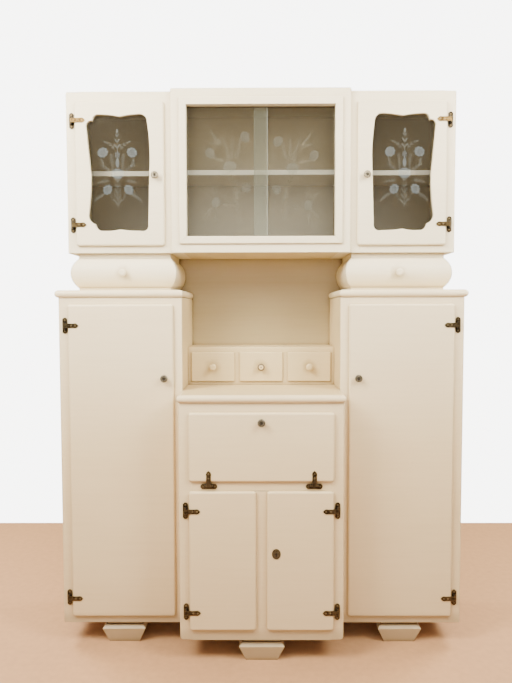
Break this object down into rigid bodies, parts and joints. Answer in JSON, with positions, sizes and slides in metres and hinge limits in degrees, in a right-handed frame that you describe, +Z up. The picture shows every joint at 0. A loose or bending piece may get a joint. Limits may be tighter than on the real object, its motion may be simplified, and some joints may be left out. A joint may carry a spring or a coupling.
{
  "type": "kitchen buffet cabinet",
  "caption": "Painted kitchen buffet with tall side cupboards, a drop flap base, an open worktop niche, bulged drawers and a glazed upper cabinet.",
  "frame": {"origin": "on the floor, at the middle of the overall width and depth", "axes": "+Z up, -Y towards the user in front, +X to the right seen from the front"},
  "size_m": [1.46, 0.481, 2.01],
  "materials": {
    "cream_paint": "satin cream oil paint on wood",
    "white_paint": "white painted shelf boards",
    "bare_wood": "bare planed wood and plywood",
    "clear_glass": "clear glass with etched flowers",
    "aged_brass": "aged brass",
    "nickel": "dull plain steel"
  },
  "bodies": {
    "case": {"feet": "cream_paint", "tall_sides": "cream_paint", "tall_bottoms": "cream_paint", "tall_tops": "cream_paint", "tall_shelves": "white_paint", "lower_backs": "bare_wood", "tall_front_frames": "cream_paint", "centre_sides": "cream_paint", "centre_front_frame": "cream_paint", "centre_stile": "cream_paint", "centre_bottom": "cream_paint", "flap_floor": "cream_paint", "centre_shelf": "white_paint", "worktop": "cream_paint", "niche_back": "cream_paint", "small_drawer_case": "cream_paint", "bulge_cases": "cream_paint", "upper_sides": "cream_paint", "upper_bottoms": "cream_paint", "upper_tops": "cream_paint", "upper_shelves": "white_paint", "upper_backs": "bare_wood", "upper_front_frames": "cream_paint", "display_front": "cream_paint", "display_moulding": "cream_paint", "glass_tracks": "bare_wood", "hinge_plates": "aged_brass", "stay_posts": "aged_brass"},
    "left_upper_door": {"left_upper_door": "cream_paint", "left_upper_glass": "clear_glass", "left_upper_fittings": "aged_brass"},
    "left_upper_bolt": {"left_upper_bolt": "nickel"},
    "left_tall_door": {"left_tall_door": "cream_paint", "left_tall_fittings": "aged_brass"},
    "left_tall_bolt": {"left_tall_bolt": "nickel"},
    "left_lower_door": {"left_lower_door": "cream_paint", "left_lower_fittings": "aged_brass"},
    "left_sliding_glass": {"left_sliding_glass": "clear_glass"},
    "left_bulged_drawer": {"left_bulged_drawer": "cream_paint"},
    "right_upper_door": {"right_upper_door": "cream_paint", "right_upper_glass": "clear_glass", "right_upper_fittings": "aged_brass"},
    "right_upper_bolt": {"right_upper_bolt": "nickel"},
    "right_tall_door": {"right_tall_door": "cream_paint", "right_tall_fittings": "aged_brass"},
    "right_tall_bolt": {"right_tall_bolt": "nickel"},
    "right_lower_door": {"right_lower_door": "cream_paint", "right_lower_fittings": "aged_brass"},
    "right_lower_bolt": {"right_lower_bolt": "nickel"},
    "right_sliding_glass": {"right_sliding_glass": "clear_glass"},
    "right_bulged_drawer": {"right_bulged_drawer": "cream_paint"},
    "left_small_drawer": {"left_small_drawer": "cream_paint"},
    "middle_small_drawer": {"middle_small_drawer": "cream_paint"},
    "right_small_drawer": {"right_small_drawer": "cream_paint"},
    "flap": {"flap": "cream_paint", "flap_fittings": "aged_brass"},
    "flap_bolt": {"flap_bolt": "nickel"},
    "left_flap_stay": {"left_flap_stay": "nickel"},
    "right_flap_stay": {"right_flap_stay": "nickel"}
  },
  "joints": [
    {"name": "left_upper_door_hinge", "type": "hinge", "parent": "case", "child": "left_upper_door", "pos_m": [-0.6834, -0.0335, 1.7075], "axis": [0, 0, -1], "range_deg": [0, 110]},
    {"name": "left_upper_bolt_slide", "type": "slide", "parent": "left_upper_door", "child": "left_upper_bolt", "axis": [1, 0, 0], "range_m": [0, 0.01]},
    {"name": "left_tall_door_hinge", "type": "hinge", "parent": "case", "child": "left_tall_door", "pos_m": [-0.6974, -0.1045, 0.671], "axis": [0, 0, -1], "range_deg": [0, 110]},
    {"name": "left_tall_bolt_slide", "type": "slide", "parent": "left_tall_door", "child": "left_tall_bolt", "axis": [1, 0, 0], "range_m": [0, 0.01]},
    {"name": "left_lower_door_hinge", "type": "hinge", "parent": "case", "child": "left_lower_door", "pos_m": [-0.2594, -0.2215, 0.3595], "axis": [0, 0, -1], "range_deg": [0, 110]},
    {"name": "left_glass_slide", "type": "slide", "parent": "case", "child": "left_sliding_glass", "axis": [1, 0, 0], "range_m": [0, 0.28]},
    {"name": "left_bulged_drawer_slide", "type": "slide", "parent": "case", "child": "left_bulged_drawer", "axis": [0, -1, 0], "range_m": [0, 0.17]},
    {"name": "right_upper_door_hinge", "type": "hinge", "parent": "case", "child": "right_upper_door", "pos_m": [0.6834, -0.0335, 1.7075], "axis": [0, 0, 1], "range_deg": [0, 110]},
    {"name": "right_upper_bolt_slide", "type": "slide", "parent": "right_upper_door", "child": "right_upper_bolt", "axis": [-1, 0, 0], "range_m": [0, 0.01]},
    {"name": "right_tall_door_hinge", "type": "hinge", "parent": "case", "child": "right_tall_door", "pos_m": [0.6974, -0.1045, 0.671], "axis": [0, 0, 1], "range_deg": [0, 110]},
    {"name": "right_tall_bolt_slide", "type": "slide", "parent": "right_tall_door", "child": "right_tall_bolt", "axis": [-1, 0, 0], "range_m": [0, 0.01]},
    {"name": "right_lower_door_hinge", "type": "hinge", "parent": "case", "child": "right_lower_door", "pos_m": [0.2594, -0.2215, 0.3595], "axis": [0, 0, 1], "range_deg": [0, 110]},
    {"name": "right_lower_bolt_slide", "type": "slide", "parent": "right_lower_door", "child": "right_lower_bolt", "axis": [-1, 0, 0], "range_m": [0, 0.01]},
    {"name": "right_glass_slide", "type": "slide", "parent": "case", "child": "right_sliding_glass", "axis": [-1, 0, 0], "range_m": [0, 0.28]},
    {"name": "right_bulged_drawer_slide", "type": "slide", "parent": "case", "child": "right_bulged_drawer", "axis": [0, -1, 0], "range_m": [0, 0.17]},
    {"name": "left_small_drawer_slide", "type": "slide", "parent": "case", "child": "left_small_drawer", "axis": [0, -1, 0], "range_m": [0, 0.11]},
    {"name": "middle_small_drawer_slide", "type": "slide", "parent": "case", "child": "middle_small_drawer", "axis": [0, -1, 0], "range_m": [0, 0.11]},
    {"name": "right_small_drawer_slide", "type": "slide", "parent": "case", "child": "right_small_drawer", "axis": [0, -1, 0], "range_m": [0, 0.11]},
    {"name": "flap_hinge", "type": "hinge", "parent": "case", "child": "flap", "pos_m": [0, -0.2215, 0.6216], "axis": [1, 0, 0], "range_deg": [0, 90]},
    {"name": "flap_bolt_slide", "type": "slide", "parent": "flap", "child": "flap_bolt", "axis": [0, 0, 1], "range_m": [0, 0.01]},
    {"name": "left_flap_stay_pivot", "type": "hinge", "parent": "flap", "child": "left_flap_stay", "pos_m": [-0.227, -0.1925, 0.7916], "axis": [1, 0, 0], "range_deg": [-46, 1]},
    {"name": "right_flap_stay_pivot", "type": "hinge", "parent": "flap", "child": "right_flap_stay", "pos_m": [0.227, -0.1925, 0.7916], "axis": [1, 0, 0], "range_deg": [-46, 1]}
  ],
  "couplings": [
    {"joint": "left_flap_stay_pivot", "follows": "flap_hinge", "ratio": -0.5},
    {"joint": "right_flap_stay_pivot", "follows": "flap_hinge", "ratio": -0.5}
  ]
}
